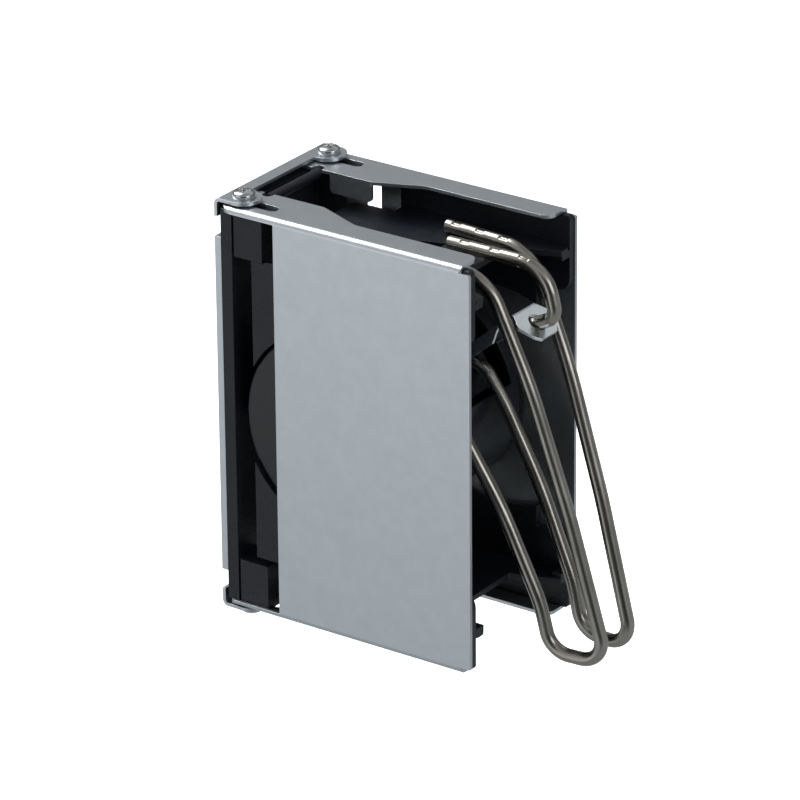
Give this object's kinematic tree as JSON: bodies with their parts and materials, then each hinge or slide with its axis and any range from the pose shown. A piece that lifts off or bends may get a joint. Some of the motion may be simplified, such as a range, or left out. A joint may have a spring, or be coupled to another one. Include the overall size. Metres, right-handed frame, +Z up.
{
  "type": "computer holder",
  "caption": "Compact steel holder for a small computer: folded side cheeks on a back bracket, a moulded core with a drum, and a sprung jaw of bent wire.",
  "frame": {"origin": "centre of the four mounting holes, on the rear face of the back bracket", "axes": "+X from the back bracket to the open end with the jaw, +Y from the front cheek to the rear cheek, +Z up"},
  "size_m": [0.1785, 0.08, 0.1948],
  "materials": {
    "sheet_steel": "satin",
    "black_moulding": "fine texture",
    "drum_black": "satin",
    "wire_steel": "satin",
    "bright_steel": "polished",
    "zinc_plate": "bright zinc",
    "axle_steel": "ground",
    "bronze": "sintered",
    "insert_brass": "knurled",
    "spring_steel": "oiled",
    "spacer_black": "matt"
  },
  "bodies": {
    "frame": {"front_cheek": "sheet_steel", "rear_cheek": "sheet_steel", "back_bracket": "sheet_steel", "core_spine": "black_moulding", "front_upper_panel": "black_moulding", "front_lower_panel": "black_moulding", "rear_upper_panel": "black_moulding", "rear_lower_panel": "black_moulding", "top_deck": "black_moulding", "bottom_deck": "black_moulding", "drum_front_half": "drum_black", "drum_rear_half": "drum_black", "front_bush": "bronze", "rear_bush": "bronze", "axle": "axle_steel", "retaining_rings": "spring_steel", "torsion_spring": "spring_steel", "top_screws": "bright_steel", "bottom_screws": "bright_steel", "spacer_washers": "spacer_black", "threaded_inserts": "insert_brass", "spacer_rods": "black_moulding"},
    "jaw": {"rotor": "drum_black", "lever_plate": "zinc_plate", "lever_rivets": "bright_steel", "front_wire_arm": "wire_steel", "rear_wire_arm": "wire_steel"},
    "hook": {"hook_wire": "wire_steel"}
  },
  "joints": [
    {"name": "jaw_swing", "type": "hinge", "parent": "frame", "child": "jaw", "pos_m": [0.059, 0, 0], "axis": [0, -1, 0], "range_deg": [0, 10], "stiffness_Nm_per_rad": 0.6, "springref_deg": -28.65},
    {"name": "hook_lift", "type": "hinge", "parent": "jaw", "child": "hook", "pos_m": [0.13631, 0, 0.05597], "axis": [0, 1, 0], "range_deg": [0, 5]}
  ]
}
